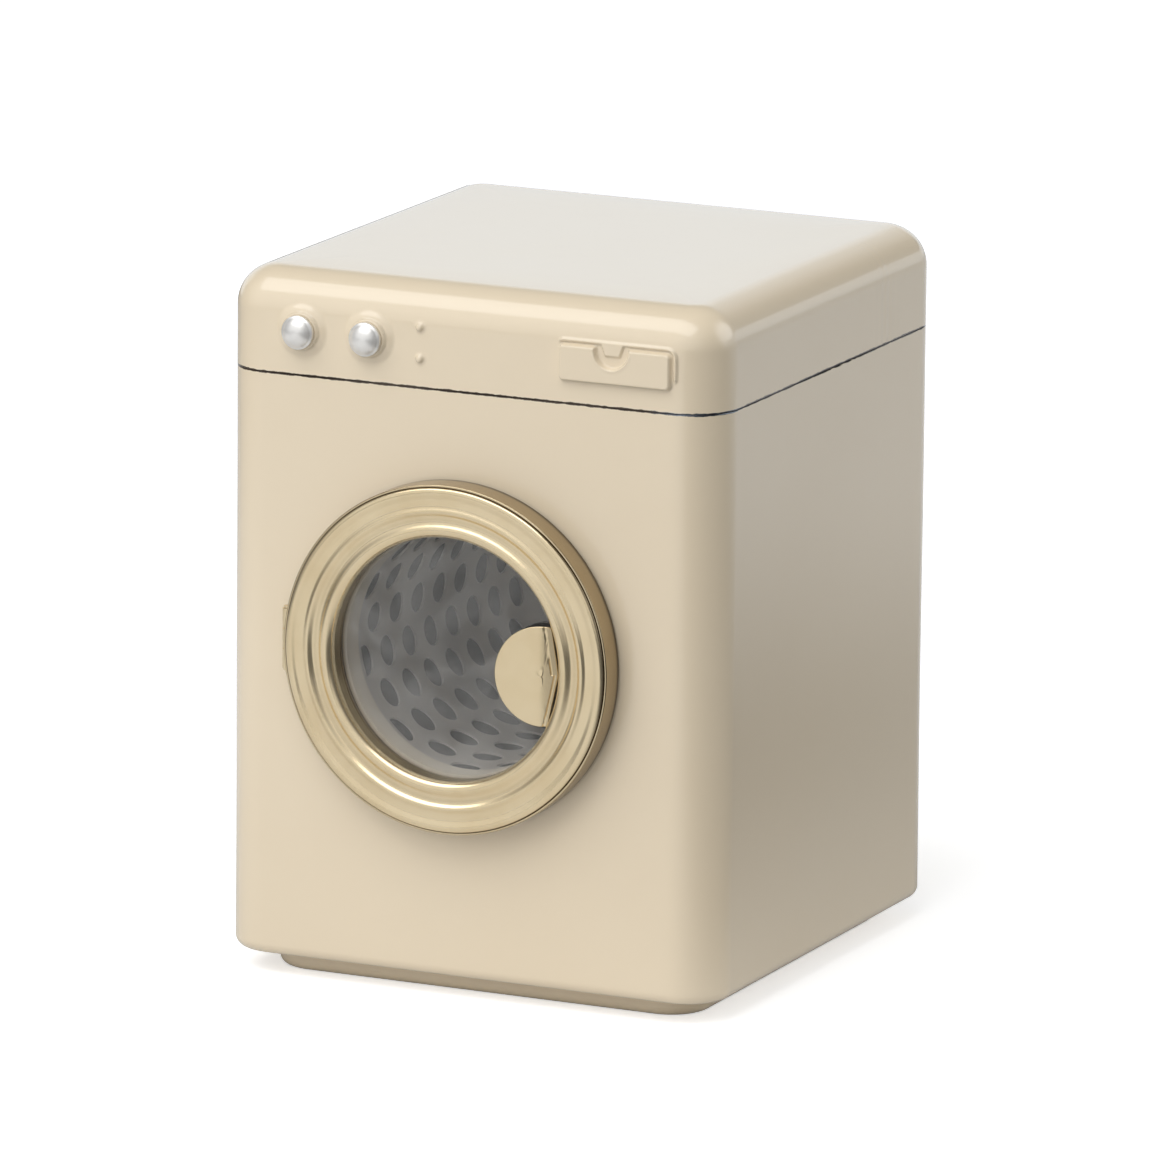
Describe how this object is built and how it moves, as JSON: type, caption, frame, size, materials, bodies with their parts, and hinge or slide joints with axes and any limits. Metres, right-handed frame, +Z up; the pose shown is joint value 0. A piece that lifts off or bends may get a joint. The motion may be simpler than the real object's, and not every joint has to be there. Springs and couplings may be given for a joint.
{
  "type": "toy washing machine",
  "caption": "Doll's-house front-loading washing machine of pressed tinplate: rounded cabinet, slip lid, hinged round door and a perforated drum that turns.",
  "frame": {"origin": "centre of the plinth's underside, on the surface that the toy stands on", "axes": "+Z up, -Y out of the front panel with the door, +X to the right as seen from the front"},
  "size_m": [0.0938, 0.1021, 0.125],
  "materials": {
    "cream_enamel": "gloss enamel on tinplate",
    "gold_lacquer": "satin brass-coloured pressed sheet",
    "clear_pane": "clear, slightly hazy plastic disc",
    "black_magnet": "matt black bonded ferrite",
    "bare_tin": "bare tinplate",
    "drum_steel": "dull grey punched steel",
    "bush_brass": "turned brass",
    "bright_knob": "bright domed metal"
  },
  "bodies": {
    "cabinet": {"cabinet_shell": "cream_enamel", "base_pan": "cream_enamel", "neck_band": "bare_tin", "porthole_collar": "cream_enamel", "bearing_bracket": "bare_tin", "axle_bush": "bush_brass", "bearing_rivets": "bare_tin", "cabinet_hinge_leaf": "gold_lacquer", "cabinet_leaf_rivets": "gold_lacquer", "hinge_pin": "gold_lacquer"},
    "door": {"door_side_band": "gold_lacquer", "door_face_ring": "gold_lacquer", "window_pane": "clear_pane", "door_back_ring": "gold_lacquer", "door_handle": "gold_lacquer", "door_magnet": "black_magnet", "door_hinge_leaf": "gold_lacquer", "door_leaf_rivets": "gold_lacquer"},
    "drum": {"drum_can": "bare_tin", "drum_liner": "drum_steel", "drum_rim_ring": "bare_tin", "drum_back_plate": "drum_steel", "drum_hub": "bare_tin", "drum_axle": "bright_knob", "axle_clip": "bare_tin"},
    "lid": {"lid_shell": "cream_enamel"},
    "left_knob": {"left_knob": "bright_knob", "left_knob_clip": "bare_tin"},
    "right_knob": {"right_knob": "bright_knob", "right_knob_clip": "bare_tin"}
  },
  "joints": [
    {"name": "door_hinge", "type": "hinge", "parent": "cabinet", "child": "door", "pos_m": [-0.0328, -0.04945, 0.0612], "axis": [0, 0, -1], "range_deg": [0, 110]},
    {"name": "drum_spin", "type": "hinge", "parent": "cabinet", "child": "drum", "pos_m": [-0.0013, 0, 0.0612], "axis": [0, -1, 0], "continuous": true},
    {"name": "lid_lift", "type": "slide", "parent": "cabinet", "child": "lid", "axis": [0, 0, 1], "range_m": [0, 0.06]},
    {"name": "left_knob_turn", "type": "hinge", "parent": "lid", "child": "left_knob", "pos_m": [-0.0313, -0.04765, 0.1149], "axis": [0, -1, 0], "continuous": true},
    {"name": "right_knob_turn", "type": "hinge", "parent": "lid", "child": "right_knob", "pos_m": [-0.0185, -0.04765, 0.1149], "axis": [0, -1, 0], "continuous": true}
  ]
}
